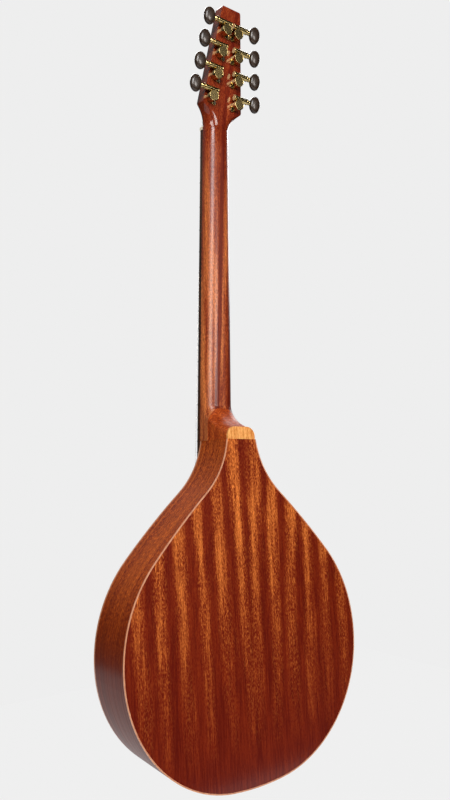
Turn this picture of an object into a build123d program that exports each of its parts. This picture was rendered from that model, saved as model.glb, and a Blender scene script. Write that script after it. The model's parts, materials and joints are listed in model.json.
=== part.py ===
"""Flat-backed bouzouki with four double courses and sealed worm tuners.

The origin is the middle of the nut's fingerboard side, on the plane where the
fingerboard is glued to the neck.  +Z is up along the soundboard, the soundboard
faces -Y and +X is the treble side.  All lengths are millimetres.
"""
import os
from math import cos, pi, radians, sin, sqrt

from build123d import *

os.makedirs("parts", exist_ok=True)

# ------------------------------------------------------------------ driving dimensions

# neck and fingerboard
scale_length = 660.0
joint_fret = 17
last_fret = 22
neck_tilt = 1.375                    # degrees, neck against the soundboard
nut_half_width = 18.4
joint_half_width = 22.4
board_depth = 5.8                    # fingerboard thickness
board_overhang = 6.0                 # fingerboard past the last fret
nut_thickness = 4.5
nut_height = 7.5
neck_depth_nut = 15.5
neck_depth_joint = 16.4
neck_corner_nut = 14.6               # radius of the rounded back edges
neck_corner_joint = 16.0
fret_width = 2.3
fret_height = 1.0
tang_width = 0.5
tang_depth = 2.0
fret_inset = 0.2

# headstock
head_tilt = 11.0                     # degrees, headstock against the soundboard
head_length = 157.1
head_top_half_width = 14.35
head_flank_slope = 0.127             # the flank's width gained per millimetre down
head_depth = 14.3                    # back face behind the glue plane
veneer_front = 1.0
veneer_thickness = 1.5
flare_start = 2.0
flare_radius = 36.2
shoulder_height = 29.0

# tuning machines, four on each side
tuner_rows = 4
first_worm_height = 45.4
worm_pitch_up_head = 29.4
first_post_x = 20.1
post_x_step = 3.73
gear_centre_distance = 8.5
worm_axis_depth = 5.9                # worm axis behind the headstock's back
button_reach = 27.0                  # button centre outward from the post axis
gear_teeth = 14
running_gap = 0.05
post_radius = 3.0
shaft_radius = 2.0
cup_radius = 6.7
barrel_radius = 3.5
barrel_end = 14.0
hole_radius = 5.0
lug_offset = 6.0

# body
body_length = 389.8
outline_arcs = ((312.4, 6.4), (145.7, 82.6), (158.6, 130.5), (889.1, 137.2), (104.6, 98.3))
tail_depth = 80.1
joint_depth = 58.3
top_thickness = 2.8
back_thickness = 2.4
rib_thickness = 2.2
binding_width = 1.4
back_binding_depth = 1.2             # the ribs rise round the back plate below its binding
lining_width = 5.0
lining_height = 12.0
block_half_width = 32.0
block_thickness = 26.0
sound_hole_radius = 40.0
sound_hole_below_joint = 125.0
rosette_gap = 5.0                    # soundboard left bare round the hole
rosette_width = 11.0
rosette_depth = 0.8

# heel
cap_height = 16.4                    # at the back, above the neck's square end
heel_rise = 30.5                     # height of the concave curve above the cap
heel_bend = 1.8                      # 2 bends it as an ellipse, less makes it straighter
heel_back_half_width = 20.3
cap_corner = 11.5                    # rounding of the cap's upper corners
crest_corner = 3.0                   # the same where the heel's top leaves the neck
heel_glue_depth = 17.6               # glue line between the neck and its heel block
tenon_half_width = 9.0
tenon_length = 18.0

# strings, bridge and tailpiece
nut_courses = 4.7                    # half the spacing of the courses at the nut
bridge_courses = 8.25                # the same at the bridge
nut_pair = 1.2
bridge_pair = 1.5
string_at_nut = 7.3                  # underside of the strings above the glue plane
string_at_bridge = 11.3
string_radii = ((0.34, 0.18), (0.29, 0.15), (0.17, 0.17), (0.13, 0.13))
tailpiece_reach = 66.0
tailpiece_lift = 7.0
tailpiece_thickness = 1.5
tailpiece_half_width = 30.0
tailpiece_leg = 24.0
button_shank_radius = 3.0
tail_screw_radius = 1.5
tail_screw_head_radius = 3.0
tail_screw_head_height = 1.8
tail_screw_length = 16.0

# ------------------------------------------------------------------ places that follow


def fret_distance(number):
    """Distance of a fret from the nut, in equal temperament."""
    return scale_length * (1 - 2 ** (-number / 12))


joint_distance = fret_distance(joint_fret)
board_length = fret_distance(last_fret) + board_overhang
neck_sin, neck_cos = sin(radians(neck_tilt)), cos(radians(neck_tilt))
head_sin, head_cos = sin(radians(head_tilt)), cos(radians(head_tilt))
top_y = -joint_distance * neck_sin
joint_z = -joint_distance * neck_cos
tail_z = joint_z - body_length
back_slope = (tail_depth - joint_depth) / body_length
sound_hole_z = joint_z - sound_hole_below_joint
tail_bore = Location((0, top_y + tail_depth / 2, tail_z))
tail_screw_places = [(x, top_y + 13.0, tail_z) for x in (-14.0, 0.0, 14.0)]
tenon_back = top_y + joint_depth * 0.75

up_neck = Vector(0, neck_sin, neck_cos)
behind_neck = Vector(0, neck_cos, -neck_sin)
up_head = Vector(0, head_sin, head_cos)
behind_head = Vector(0, head_cos, -head_sin)

# local x is +X and local y runs down the neck; local z is the depth behind the glue plane
neck_plane = Plane(origin=(0, 0, 0), x_dir=(1, 0, 0), z_dir=behind_neck)
# local x is +X, local y runs up the headstock and local z comes out of its front
head_plane = Plane(origin=(0, 0, 0), x_dir=(1, 0, 0), z_dir=-behind_head)
# local x is +X, local y is +Z and local z comes out of the soundboard
front_plane = Plane.XZ.offset(-top_y)
back_plane = Plane(
    origin=(0, top_y + joint_depth, joint_z), x_dir=(1, 0, 0), z_dir=(0, 1, back_slope)
)
back_inside = back_plane.offset(-back_thickness)
under_back_binding = back_plane.offset(-back_binding_depth)
under_top = front_plane.offset(-top_thickness)


def neck_half_width(distance):
    """Half of the fingerboard's width at a distance from the nut."""
    return nut_half_width + (joint_half_width - nut_half_width) * distance / joint_distance


def across_neck(distance):
    """Cross-section plane of the neck: local y is the depth behind the glue plane."""
    return Plane(origin=-distance * up_neck, x_dir=(1, 0, 0), z_dir=up_neck)


def across_head(height):
    """Cross-section plane of the headstock: local y is the depth behind its front."""
    return Plane(origin=height * up_head, x_dir=(1, 0, 0), z_dir=up_head)


def head_half_width(height):
    """Half of the headstock's width between its straight flanks."""
    return head_top_half_width + head_flank_slope * (head_length - height)


def flare_half_width(height):
    """Half-width of the curve that widens the neck into the headstock."""
    return nut_half_width + flare_radius - sqrt(flare_radius**2 - (height - flare_start) ** 2)


def save(piece, name):
    """Label a finished piece and write it as its own STEP file."""
    piece.part.label = name
    export_step(piece.part, f"parts/{name}.step")


def body_face(inset):
    """The body's outline as a face, drawn in by a wall's thickness."""
    with BuildSketch() as face:
        with BuildLine():
            start, heading, direction = Vector(0, tail_z), 0.0, Vector(1, 0)
            for radius, next_heading in outline_arcs:
                arc = JernArc(start, direction, radius, next_heading - heading)
                start, heading, direction = arc @ 1, next_heading, arc % 1
            above = joint_z + 4 * rib_thickness
            corner = start + direction * ((above - start.Y) / direction.Y)
            Polyline(start, corner, (0, above))
            mirror(about=Plane.YZ)
        make_face()
        if inset:
            offset(amount=-inset)
        # the body is cut off square where the heel meets it
        with Locations((0, joint_z - body_length / 2)):
            Rectangle(2 * body_length, body_length, mode=Mode.INTERSECT)
    return face.sketch


def ring_face():
    """The rosette's ring round the sound hole, as a face."""
    inner = sound_hole_radius + rosette_gap
    with BuildSketch() as face:
        with Locations((0, sound_hole_z)):
            Circle(inner + rosette_width)
            Circle(inner, mode=Mode.SUBTRACT)
    return face.sketch


rosette_face = ring_face()
outer_face = body_face(0)
plate_face = body_face(binding_width)
cavity_face = body_face(rib_thickness)
lined_face = body_face(rib_thickness + lining_width)

# ------------------------------------------------------------------ body


def cut_round_blocks():
    """Take the neck block's and the tail block's places out of the active part."""
    for block_z in (joint_z, tail_z):
        with Locations((0, top_y + tail_depth / 2, block_z)):
            Box(2 * block_half_width, 2 * tail_depth, 2 * block_thickness, mode=Mode.SUBTRACT)


with BuildPart() as soundboard:
    with BuildSketch(front_plane):
        add(plate_face)
        with Locations((0, sound_hole_z)):
            Circle(sound_hole_radius, mode=Mode.SUBTRACT)
    extrude(amount=-top_thickness)
    with BuildSketch(front_plane):
        add(rosette_face)
    extrude(amount=-rosette_depth, mode=Mode.SUBTRACT)
save(soundboard, "soundboard")

with BuildPart() as rosette:
    with BuildSketch(front_plane):
        add(rosette_face)
    extrude(amount=-rosette_depth)
save(rosette, "rosette")

with BuildPart() as back_plate:
    with BuildSketch(front_plane):
        add(plate_face)
    extrude(amount=-2 * tail_depth)
    split(bisect_by=back_plane, keep=Keep.BOTTOM)
    split(bisect_by=back_inside, keep=Keep.TOP)
save(back_plate, "back_plate")

with BuildPart() as top_binding:
    with BuildSketch(front_plane):
        add(outer_face)
        add(plate_face, mode=Mode.SUBTRACT)
    extrude(amount=-top_thickness)
save(top_binding, "top_binding")

with BuildPart() as back_binding:
    with BuildSketch(front_plane):
        add(outer_face)
        add(plate_face, mode=Mode.SUBTRACT)
    extrude(amount=-2 * tail_depth)
    split(bisect_by=back_plane, keep=Keep.BOTTOM)
    split(bisect_by=under_back_binding, keep=Keep.TOP)
save(back_binding, "back_binding")

for side, keep, name in ((-1, Keep.BOTTOM, "bass_rib"), (1, Keep.TOP, "treble_rib")):
    with BuildPart() as rib:
        with BuildSketch(under_top):
            add(outer_face)
            add(cavity_face, mode=Mode.SUBTRACT)
        extrude(amount=-2 * tail_depth)
        split(bisect_by=under_back_binding, keep=Keep.BOTTOM)
        add(back_plate.part, mode=Mode.SUBTRACT)
        split(bisect_by=Plane.YZ, keep=keep)
        with Locations(tail_bore):
            Cylinder(button_shank_radius + running_gap, 50, mode=Mode.SUBTRACT)
        with Locations(*tail_screw_places):
            Cylinder(tail_screw_radius + running_gap, 2 * tail_screw_length, mode=Mode.SUBTRACT)
    save(rib, name)

with BuildPart() as linings:
    with BuildSketch(under_top):
        add(cavity_face)
        add(lined_face, mode=Mode.SUBTRACT)
    extrude(amount=-2 * tail_depth)
    split(bisect_by=back_inside, keep=Keep.BOTTOM)
    # the middle of the ribs stays bare between the two lining strips
    with BuildSketch(Plane.YZ):
        with BuildLine():
            front_y = top_y + top_thickness + lining_height
            back_y = top_y + joint_depth - back_thickness - lining_height
            above = 20.0
            Polyline(
                (front_y, joint_z + above),
                (back_y - above * back_slope, joint_z + above),
                (back_y + (body_length + above) * back_slope, tail_z - above),
                (front_y, tail_z - above),
                close=True,
            )
        make_face()
    extrude(amount=body_length, both=True, mode=Mode.SUBTRACT)
    cut_round_blocks()
save(linings, "linings")

with BuildPart() as neck_block:
    with BuildSketch(under_top):
        add(cavity_face)
    extrude(amount=-2 * tail_depth)
    split(bisect_by=back_inside, keep=Keep.BOTTOM)
    with Locations((0, top_y + tail_depth / 2, joint_z)):
        Box(2 * block_half_width, 2 * tail_depth, 2 * block_thickness, mode=Mode.INTERSECT)
    with Locations((0, (tenon_back + under_top.origin.Y) / 2, joint_z)):
        Box(
            2 * tenon_half_width,
            tenon_back - under_top.origin.Y,
            2 * tenon_length,
            mode=Mode.SUBTRACT,
        )
save(neck_block, "neck_block")

with BuildPart() as tail_block:
    with BuildSketch(under_top):
        add(cavity_face)
    extrude(amount=-2 * tail_depth)
    split(bisect_by=back_inside, keep=Keep.BOTTOM)
    with Locations((0, top_y + tail_depth / 2, tail_z)):
        Box(2 * block_half_width, 2 * tail_depth, 2 * block_thickness, mode=Mode.INTERSECT)
    with Locations(tail_bore):
        Cylinder(button_shank_radius + running_gap, 50, mode=Mode.SUBTRACT)
    with Locations(*tail_screw_places):
        Cylinder(tail_screw_radius + running_gap, 2 * tail_screw_length + 0.5, mode=Mode.SUBTRACT)
save(tail_block, "tail_block")

# transverse bars, as distances below the neck joint
top_brace_places = (60.0, 182.0, 300.0)
back_brace_places = (50.0, 140.0, 230.0, 320.0)
brace_width = 9.0
brace_height = 13.0

with BuildPart() as top_braces:
    with BuildSketch(under_top):
        add(lined_face)
        with Locations(*[(0, joint_z - below) for below in top_brace_places]):
            Rectangle(2 * body_length, brace_width, mode=Mode.INTERSECT)
    extrude(amount=-brace_height)
save(top_braces, "top_braces")

with BuildPart() as back_braces:
    with BuildSketch(under_top):
        add(lined_face)
        with Locations(*[(0, joint_z - below) for below in back_brace_places]):
            Rectangle(2 * body_length, brace_width, mode=Mode.INTERSECT)
    extrude(amount=-2 * tail_depth)
    split(bisect_by=back_inside, keep=Keep.BOTTOM)
    split(bisect_by=back_inside.offset(-brace_height), keep=Keep.TOP)
save(back_braces, "back_braces")

# ------------------------------------------------------------------ neck and heel


def neck_section(half_width, depth, corner, front=0.0):
    """Neck cross-section as a face: flat front, round-cornered back at y = depth."""
    flat = half_width - corner
    straight = depth - corner
    with BuildSketch() as face:
        with BuildLine():
            Line((flat, depth), (-flat, depth))
            CenterArc((-flat, straight), corner, 90, 90)
            Line((-half_width, straight), (-half_width, front))
            Line((-half_width, front), (half_width, front))
            Line((half_width, front), (half_width, straight))
            CenterArc((flat, straight), corner, 0, 90)
        make_face()
    return face.sketch


def heel_curve(step):
    """Depth, and height above the joint, of the heel's concave back from the cap to the neck."""
    turn = radians(90 * step / heel_steps)
    bent = (1 - sin(turn) ** heel_bend) ** (1 / heel_bend)
    return joint_depth - heel_reach * sin(turn), cap_height + heel_rise * (1 - bent)


def heel_arch(half_width, height, corner):
    """Arch as a face: square on the body's end, round at its upper corners."""
    flat = half_width - corner
    with BuildSketch() as face:
        with BuildLine():
            Line((-half_width, -heel_below), (half_width, -heel_below))
            Line((half_width, -heel_below), (half_width, height - corner))
            CenterArc((flat, height - corner), corner, 0, 90)
            Line((flat, height), (-flat, height))
            CenterArc((-flat, height - corner), corner, 90, 90)
            Line((-half_width, height - corner), (-half_width, -heel_below))
        make_face()
    return face.sketch


def heel_arch_plane(depth):
    """Plane behind and along the neck at a depth: local y is the height above the joint."""
    origin = Vector(0, 0, 0) - joint_distance * up_neck + depth * behind_neck
    return Plane(origin=origin, x_dir=(1, 0, 0), z_dir=-behind_neck)


heel_steps = 12
heel_reach = joint_depth - neck_depth_joint
heel_below = 4.0                     # the heel's forms run this far past the joint before they are cut
heel_past = joint_depth + 20.0       # and their flanks run to this depth
heel_lip = 1.0                       # height in which the flanks reach the back's depth
glue_plane = heel_arch_plane(heel_glue_depth)

# the neck's own section, growing deeper down a concave curve until it is the whole heel
heel_sections = [(heel_past, -heel_below), (heel_past, cap_height - heel_lip)]
heel_sections += [heel_curve(step) for step in range(heel_steps + 1)]
round_end = cap_height + heel_rise
with BuildPart() as heel_sweep:
    for depth, height in heel_sections:
        with BuildSketch(across_neck(joint_distance - height)):
            half_width = neck_half_width(joint_distance - height)
            add(neck_section(half_width, depth, neck_corner_joint))
    loft(ruled=True)
    split(bisect_by=Plane.XY.offset(joint_z), keep=Keep.TOP)

# sections from the shaft to the headstock: height up the head, radius of the back edges
head_sections = ((5.0, 13.7), (11.0, 13.2), (16.0, 12.0), (20.0, 9.8), (23.5, 6.2), (27.0, 0.8))
head_joint = head_sections[-1][0]
transition_front = -3.0
shoulder_round = 4.0
crown_round = 2.5


def head_face():
    """The headstock's outline above its flare, as a face seen from the front."""
    low, middle = 10.0, 20.0
    with BuildSketch() as face:
        with BuildLine():
            flare = ThreePointArc(
                (flare_half_width(low), low),
                (flare_half_width(middle), middle),
                (flare_half_width(shoulder_height), shoulder_height),
            )
            Polyline(flare @ 1, (head_top_half_width, head_length), (0, head_length))
            Polyline((0, head_length), (0, low), flare @ 0)
        make_face()
        mirror(about=Plane.YZ)
        corners = face.vertices()
        fillet(
            corners.filter_by_position(Axis.Y, shoulder_height - 1, shoulder_height + 1),
            radius=shoulder_round,
        )
        corners = face.vertices().filter_by(lambda corner: abs(corner.X) > 1)
        fillet(
            corners.filter_by_position(Axis.Y, head_length - 1, head_length + 1),
            radius=crown_round,
        )
        with Locations((0, head_joint + head_length / 2)):
            Rectangle(2 * head_length, head_length, mode=Mode.INTERSECT)
    return face.sketch


def post_x(row):
    """Distance of a tuner's post from the headstock's middle line."""
    return first_post_x - post_x_step * row


def post_height(row):
    """Height of a tuner's post up the headstock."""
    return first_worm_height + worm_pitch_up_head * row - gear_centre_distance


posts = [(side, row) for side in (-1, 1) for row in range(tuner_rows)]
post_places = [(side * post_x(row), post_height(row)) for side, row in posts]
lug_places = [
    (side * (post_x(row) - lug_offset), post_height(row) - lug_offset) for side, row in posts
]
lug_screw_radius = 1.1
lug_screw_depth = 8.0
lug_head_radius = 1.75
lug_head_height = 1.2
rod_width = 6.0
rod_depth = 8.6
rod_start = 3.0                      # upper end of the truss rod's channel, above the nut
rod_length = 392.0
pocket_half_width = 4.5
pocket_start = 2.5
pocket_end = 27.0
pocket_depth = 7.5
cover_half_width = 8.5
cover_start = 6.0
cover_end = 33.0
cover_thickness = 1.8
cover_screws = ((0, 30.0), (-5.8, 8.8), (5.8, 8.8))
cover_screw_radius = 0.9
cover_screw_length = 6.0
cover_head_radius = 1.7
cover_head_height = 0.9
end_gap = 0.3                        # room past the end of a screw or a rod
seat_length = 45.0
seat_clearance = 20.0                # more than the stock above a seat
veneer_back = veneer_front - veneer_thickness
veneer_step = 0.8                    # the nut stands this far over the veneer's seat

with BuildPart() as neck:
    # the heel's front, down to its glue line
    add(heel_sweep.part)
    split(bisect_by=glue_plane, keep=Keep.TOP)
    # shaft
    with BuildSketch(across_neck(joint_distance - round_end)):
        end_half_width = neck_half_width(joint_distance - round_end)
        add(neck_section(end_half_width, neck_depth_joint, neck_corner_joint))
    with BuildSketch(across_neck(0)):
        add(neck_section(nut_half_width, neck_depth_nut, neck_corner_nut))
    loft(ruled=True)
    # transition from the shaft to the headstock
    with BuildSketch(across_neck(0)):
        add(neck_section(nut_half_width, neck_depth_nut, neck_corner_nut, transition_front))
    for height, corner in head_sections:
        with BuildSketch(across_head(height)):
            width = flare_half_width(height)
            add(neck_section(width, head_depth, corner, transition_front))
    loft()
    # headstock
    with BuildSketch(head_plane):
        add(head_face())
    extrude(amount=-head_depth)
    # flat seats for the nut and the fingerboard, and for the veneer
    with BuildSketch(neck_plane):
        with Locations((0, seat_length / 2 - nut_thickness)):
            Rectangle(4 * joint_half_width, seat_length)
    extrude(amount=-seat_clearance, mode=Mode.SUBTRACT)
    with BuildSketch(head_plane.offset(veneer_back)):
        with Locations((0, nut_thickness - veneer_step + head_length / 2)):
            Rectangle(4 * joint_half_width, head_length)
    extrude(amount=seat_clearance, mode=Mode.SUBTRACT)
    # bores for the posts and the lug screws
    with BuildSketch(head_plane):
        with Locations(*post_places):
            Circle(hole_radius)
    extrude(amount=-2 * head_depth, mode=Mode.SUBTRACT)
    with BuildSketch(head_plane.offset(-head_depth)):
        with Locations(*lug_places):
            Circle(lug_screw_radius + running_gap)
    extrude(amount=lug_screw_depth + end_gap, mode=Mode.SUBTRACT)
    with BuildSketch(head_plane.offset(veneer_back)):
        with Locations(*cover_screws):
            Circle(cover_screw_radius + running_gap)
    extrude(amount=-cover_screw_length, mode=Mode.SUBTRACT)
    # channel of the truss rod, and the pocket that its nut is reached from
    with BuildSketch(neck_plane):
        with Locations((0, rod_length / 2 - rod_start)):
            Rectangle(rod_width + end_gap, rod_length + end_gap)
    extrude(amount=rod_depth + end_gap, mode=Mode.SUBTRACT)
    with BuildSketch(head_plane.offset(veneer_back)):
        with Locations((0, (pocket_start + pocket_end) / 2)):
            Rectangle(2 * pocket_half_width, pocket_end - pocket_start)
    extrude(amount=-pocket_depth, mode=Mode.SUBTRACT)
    # the neck's part of the tenon that enters the body
    glue_y = top_y + heel_glue_depth * neck_cos
    tenon_front = top_y + top_thickness
    with Locations((0, (tenon_front + glue_y) / 2, joint_z - tenon_length / 2)):
        Box(2 * tenon_half_width, glue_y - tenon_front, tenon_length)
save(neck, "neck")

# the rest of the heel, with the corners of its top rounded
with BuildPart() as heel_form:
    with BuildSketch(heel_arch_plane(heel_past)):
        add(heel_arch(heel_back_half_width, cap_height, cap_corner))
    for step in range(heel_steps + 1):
        depth, height = heel_curve(step)
        share = step / heel_steps
        half_width = heel_back_half_width + share * (joint_half_width - heel_back_half_width)
        corner = cap_corner + share * (crest_corner - cap_corner)
        with BuildSketch(heel_arch_plane(depth)):
            add(heel_arch(half_width, height, corner))
    loft(ruled=True)
    add(heel_sweep.part, mode=Mode.INTERSECT)
    split(bisect_by=glue_plane, keep=Keep.BOTTOM)

with BuildPart() as heel_block:
    add(heel_form.part)
    split(bisect_by=back_inside, keep=Keep.BOTTOM)
    with Locations((0, (glue_y + tenon_back) / 2, joint_z - tenon_length / 2)):
        Box(2 * tenon_half_width, tenon_back - glue_y, tenon_length)
save(heel_block, "heel_block")

with BuildPart() as heel_cap:
    add(heel_form.part)
    split(bisect_by=back_inside, keep=Keep.TOP)
    split(bisect_by=back_plane, keep=Keep.BOTTOM)
save(heel_cap, "heel_cap")

# ------------------------------------------------------------------ fingerboard and head trim


def board_point(distance, lift):
    """Point on the neck's middle line at a distance from the nut, lifted off the board."""
    return -distance * up_neck - (board_depth + lift) * behind_neck


def board_face(start, end):
    """The fingerboard's tapered outline between two distances from the nut, as a face."""
    with BuildSketch() as face:
        with BuildLine():
            Polyline(
                (-neck_half_width(start), start),
                (neck_half_width(start), start),
                (neck_half_width(end), end),
                (-neck_half_width(end), end),
                close=True,
            )
        make_face()
    return face.sketch


single_markers = (3, 5, 7, 10, 15, 17, 19)
double_marker = 12
marker_radius = 2.6
marker_depth = 1.2
double_marker_x = 8.0
marker_places = [
    (0, (fret_distance(number - 1) + fret_distance(number)) / 2) for number in single_markers
]
octave = (fret_distance(double_marker - 1) + fret_distance(double_marker)) / 2
marker_places += [(-double_marker_x, octave), (double_marker_x, octave)]
board_foot = 5.0                     # more than the gap between the board's end and the top
fret_distances = [fret_distance(number) for number in range(1, last_fret + 1)]
board_top = neck_plane.offset(-board_depth)

with BuildPart() as fingerboard:
    # the end past the joint is thickened down to the soundboard
    with BuildSketch(neck_plane):
        add(board_face(joint_distance, board_length))
    extrude(amount=board_foot)
    split(bisect_by=front_plane, keep=Keep.TOP)
    with BuildSketch(neck_plane):
        add(board_face(0, board_length))
    extrude(amount=-board_depth)
    with BuildSketch(board_top):
        with Locations(*[(0, distance) for distance in fret_distances]):
            Rectangle(4 * joint_half_width, tang_width)
    extrude(amount=tang_depth, mode=Mode.SUBTRACT)
    with BuildSketch(board_top):
        with Locations(*marker_places):
            Circle(marker_radius)
    extrude(amount=marker_depth, mode=Mode.SUBTRACT)
save(fingerboard, "fingerboard")

with BuildPart() as frets:
    for distance in fret_distances:
        across = Plane(origin=board_point(distance, 0), x_dir=up_neck, z_dir=(1, 0, 0))
        with BuildSketch(across):
            with BuildLine():
                ThreePointArc((-fret_width / 2, 0), (0, fret_height), (fret_width / 2, 0))
                Line((fret_width / 2, 0), (-fret_width / 2, 0))
            make_face()
            with Locations((0, -tang_depth / 2)):
                Rectangle(tang_width, tang_depth)
        extrude(amount=neck_half_width(distance) - fret_inset, both=True)
save(frets, "frets")

with BuildPart() as fret_markers:
    with BuildSketch(board_top):
        with Locations(*marker_places):
            Circle(marker_radius)
    extrude(amount=marker_depth)
save(fret_markers, "fret_markers")

veneer_start = nut_thickness + 0.4
veneer_overlap = head_joint + 0.5

with BuildPart() as headstock_veneer:
    with BuildSketch(head_plane.offset(veneer_front)):
        add(head_face())
        # below the head's straight flanks the veneer follows the flare to the nut
        with BuildLine():
            flare = ThreePointArc(
                (flare_half_width(veneer_start), veneer_start),
                (flare_half_width(16), 16),
                (flare_half_width(veneer_overlap), veneer_overlap),
            )
            Polyline(flare @ 1, (0, veneer_overlap), (0, veneer_start), flare @ 0)
        make_face()
        mirror(about=Plane.YZ)
        with Locations(*post_places):
            Circle(hole_radius, mode=Mode.SUBTRACT)
        with Locations(*cover_screws):
            Circle(cover_screw_radius + running_gap, mode=Mode.SUBTRACT)
        with Locations((0, pocket_end / 2)):
            Rectangle(2 * pocket_half_width, pocket_end, mode=Mode.SUBTRACT)
    extrude(amount=-veneer_thickness)
save(headstock_veneer, "headstock_veneer")

end_block = 14.0
upper_bar = 2.6
lower_bar_radius = 2.2
rod_nut_radius = 2.9
rod_nut_length = 6.0
key_hole_radius = 1.5

with BuildPart() as truss_rod:
    with BuildSketch(neck_plane):
        with Locations((0, rod_length / 2 - rod_start)):
            Rectangle(rod_width, rod_length)
    extrude(amount=upper_bar)
    for distance in (end_block / 2 - rod_start, rod_length - rod_start - end_block / 2):
        with BuildSketch(neck_plane):
            with Locations((0, distance)):
                Rectangle(rod_width, end_block)
        extrude(amount=rod_depth)
    with BuildSketch(across_neck(0)):
        with Locations((0, rod_depth - lower_bar_radius)):
            Circle(lower_bar_radius)
    extrude(amount=rod_start - rod_length)
    # hexagonal nut, in the pocket under the cover
    with BuildSketch(across_neck(-rod_start)):
        with Locations((0, rod_depth / 2)):
            RegularPolygon(rod_nut_radius, 6)
            Circle(key_hole_radius, mode=Mode.SUBTRACT)
    extrude(amount=rod_nut_length)
save(truss_rod, "truss_rod")

cover_shoulder = cover_start + 6

with BuildPart() as truss_rod_cover:
    with BuildSketch(head_plane.offset(veneer_front)):
        with BuildLine():
            right, left = (cover_half_width, cover_shoulder), (-cover_half_width, cover_shoulder)
            Polyline(left, (-cover_half_width, cover_start), (cover_half_width, cover_start), right)
            ThreePointArc(right, (0, cover_end), left)
        make_face()
        with Locations(*cover_screws):
            Circle(cover_screw_radius + running_gap, mode=Mode.SUBTRACT)
    extrude(amount=cover_thickness)
save(truss_rod_cover, "truss_rod_cover")

with BuildPart() as truss_cover_screws:
    cover_front = head_plane.offset(veneer_front + cover_thickness)
    with BuildSketch(cover_front):
        with Locations(*cover_screws):
            Circle(cover_screw_radius)
    extrude(amount=-cover_screw_length)
    with BuildSketch(cover_front):
        with Locations(*cover_screws):
            Circle(cover_head_radius)
    extrude(amount=cover_head_height)
save(truss_cover_screws, "truss_cover_screws")

# ------------------------------------------------------------------ strings and their rests

courses = (-1.5, -0.5, 0.5, 1.5)     # bass to treble, in steps of the course spacing
bridge_z = -scale_length * neck_cos
bridge_height = scale_length * neck_sin + string_at_bridge * neck_cos + top_y
tail_hook_z = tail_z + tailpiece_reach - 6.0
hook_radius = 1.2
hook_height = 4.5
hook_root = 2.0                      # the hooks' roots below the plate's lifted end
string_gap = 0.1                     # between a string's end and the hook it hangs on
string_clearance = 0.5               # between a string's side and its post
winding_height = 5.0                 # string's height on its post, above the veneer


def string_ends(course, member):
    """Side-to-side places of one string at the bridge and the nut, and its tuner."""
    spacing = courses[course]
    side = -1 if course < 2 else 1
    outward = side * member          # +1 is the pair's outer string
    at_bridge = spacing * 2 * bridge_courses + member * bridge_pair
    at_nut = spacing * 2 * nut_courses + member * nut_pair
    outer_course = course in (0, 3)
    row = (0 if outward > 0 else 1) if outer_course else (2 if outward > 0 else 3)
    return at_bridge, at_nut, side, row


strings = [
    (course, member, radius)
    for course in range(len(courses))
    for member, radius in zip((-1, 1), string_radii[course])
]


def string_path(course, member, radius):
    """Corner points of one string, from the tailpiece over bridge and nut to its post."""
    at_bridge, at_nut, side, row = string_ends(course, member)
    tail_y = top_y - tailpiece_lift - tailpiece_thickness - radius - string_gap
    tail_point = Vector(at_bridge, tail_y, tail_hook_z + hook_radius + string_gap)
    bridge_point = Vector(at_bridge, top_y - bridge_height - radius, bridge_z)
    nut_point = Vector(at_nut, 0, 0) - (string_at_nut + radius) * behind_neck
    nut_edge = nut_point + nut_thickness * up_neck
    clear = post_radius + radius + string_clearance
    lift = veneer_front + winding_height
    post_point = (
        Vector(side * (post_x(row) - clear), 0, 0) + post_height(row) * up_head - lift * behind_head
    )
    return tail_point, bridge_point, nut_point, nut_edge, post_point


for course in range(len(courses)):
    with BuildPart() as string_pair:
        for number, member, radius in strings:
            if number != course:
                continue
            points = string_path(number, member, radius)
            for start, end in zip(points, points[1:]):
                with BuildSketch(Plane(origin=start, z_dir=end - start)):
                    Circle(radius)
                extrude(amount=(end - start).length)
            with Locations(*points[1:-1]):
                Sphere(radius)
    save(string_pair, f"strings_course_{course + 1}")

nut_chamfer = 0.4
slot_gap = 0.01                      # slots are cut this much wider than their strings

with BuildPart() as nut:
    with BuildSketch(neck_plane):
        with Locations((0, -nut_thickness / 2)):
            Rectangle(2 * nut_half_width, nut_thickness)
    extrude(amount=-nut_height)
    chamfer(nut.edges().filter_by(Axis.X).group_by(Axis.Y)[0], length=nut_chamfer)
    for course, member, radius in strings:
        at_nut = string_ends(course, member)[1]
        with BuildSketch(across_neck(0)):
            with Locations((at_nut, -string_at_nut - radius)):
                Circle(radius + slot_gap)
        extrude(amount=nut_thickness, mode=Mode.SUBTRACT)
save(nut, "nut")

# local x is +X and local y is the height above the soundboard
bridge_plane = Plane(origin=(0, top_y, bridge_z), x_dir=(1, 0, 0), z_dir=(0, 0, -1))
bridge_base_height = bridge_height - 3.2
bridge_half_length = 60.0
bridge_width = 11.0
saddle_half_length = 33.0
saddle_width = 3.0
saddle_bottom = bridge_height - 7.0
foot_inner, foot_arch = 20.0, 4.0    # the bridge is arched between its feet
wing_middle, wing_height, wing_inner = 48.0, 7.0, 36.0

with BuildPart() as bridge:
    with BuildSketch(bridge_plane):
        with BuildLine():
            tip, shoulder = (bridge_half_length, foot_arch), (wing_inner, bridge_base_height)
            inner_foot, outer_foot = (foot_inner + 5, 0), (bridge_half_length, 0)
            Polyline((0, foot_arch), (foot_inner, foot_arch), inner_foot, outer_foot, tip)
            Spline(tip, (wing_middle, wing_height), shoulder, tangents=((-1, 0), (-1, 0)))
            Polyline(shoulder, (0, bridge_base_height), (0, foot_arch))
        make_face()
        mirror(about=Plane.YZ)
    extrude(amount=bridge_width / 2, both=True)
    with BuildSketch(bridge_plane):
        with Locations((0, saddle_bottom + bridge_height / 2)):
            Rectangle(2 * saddle_half_length, bridge_height)
    extrude(amount=saddle_width / 2, both=True, mode=Mode.SUBTRACT)
save(bridge, "bridge")

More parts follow.
